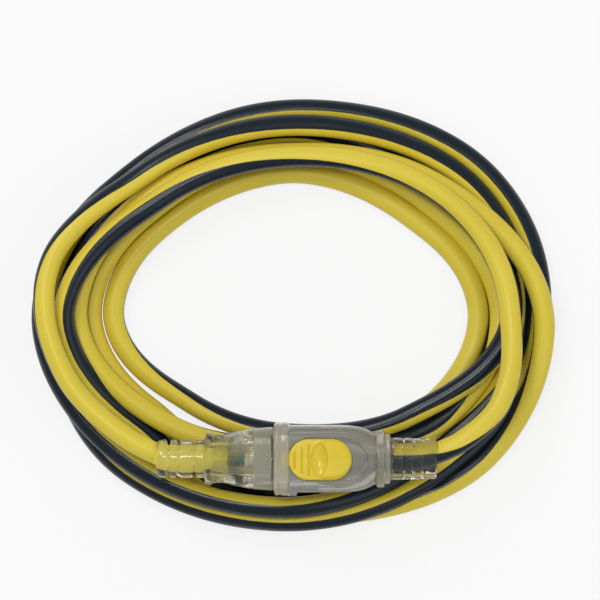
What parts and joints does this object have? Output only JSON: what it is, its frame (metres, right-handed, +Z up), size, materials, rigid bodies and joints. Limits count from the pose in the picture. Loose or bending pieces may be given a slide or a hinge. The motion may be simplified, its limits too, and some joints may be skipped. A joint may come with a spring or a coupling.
{
  "type": "extension cord",
  "caption": "Coiled two-tone extension cord with its clear plug pushed into its own clear locking connector.",
  "frame": {"origin": "centre of the bounding box's base, on the floor under the coil", "axes": "+Z up, +X along the coil's long side from plug to connector, +Y away from the plug and connector"},
  "size_m": [0.2643, 0.2187, 0.0573],
  "materials": {
    "cord_jacket": "satin",
    "clear_plastic": "gloss",
    "carrier": "satin",
    "contact_metal": "satin",
    "black_insulation": "satin",
    "white_insulation": "satin",
    "green_insulation": "satin",
    "button_yellow": "gloss",
    "jaw_steel": "satin"
  },
  "bodies": {
    "connector_and_coil": {"cord_coil": "cord_jacket", "cord_lead_connector": "cord_jacket", "cord_lead_plug": "cord_jacket", "connector_body": "clear_plastic", "connector_insert": "carrier", "contact_live": "contact_metal", "contact_neutral": "contact_metal", "contact_ground": "contact_metal", "connector_wire_black": "black_insulation", "connector_wire_white": "white_insulation", "connector_wire_green": "green_insulation"},
    "plug": {"plug_body": "clear_plastic", "plug_bridge": "carrier", "blade_live": "contact_metal", "blade_neutral": "contact_metal", "ground_pin": "contact_metal", "plug_wire_black": "black_insulation", "plug_wire_white": "white_insulation", "plug_wire_green": "green_insulation", "plug_jacket_end": "cord_jacket"},
    "lock_button": {"lock_button": "button_yellow", "lock_slider": "button_yellow"},
    "lock_jaw": {"lock_jaw": "jaw_steel"}
  },
  "joints": [
    {"name": "plug_pull", "type": "slide", "parent": "connector_and_coil", "child": "plug", "axis": [-1, 0, 0], "range_m": [0, 0.022], "deforming": ["cord_lead_plug"]},
    {"name": "lock_button_slide", "type": "slide", "parent": "connector_and_coil", "child": "lock_button", "axis": [1, 0, 0], "range_m": [0, 0.007]},
    {"name": "lock_jaw_lift", "type": "slide", "parent": "connector_and_coil", "child": "lock_jaw", "axis": [0, 0, 1], "range_m": [0, 0.001]}
  ],
  "couplings": [
    {"joint": "lock_jaw_lift", "follows": "lock_button_slide", "ratio": 0.14286}
  ]
}
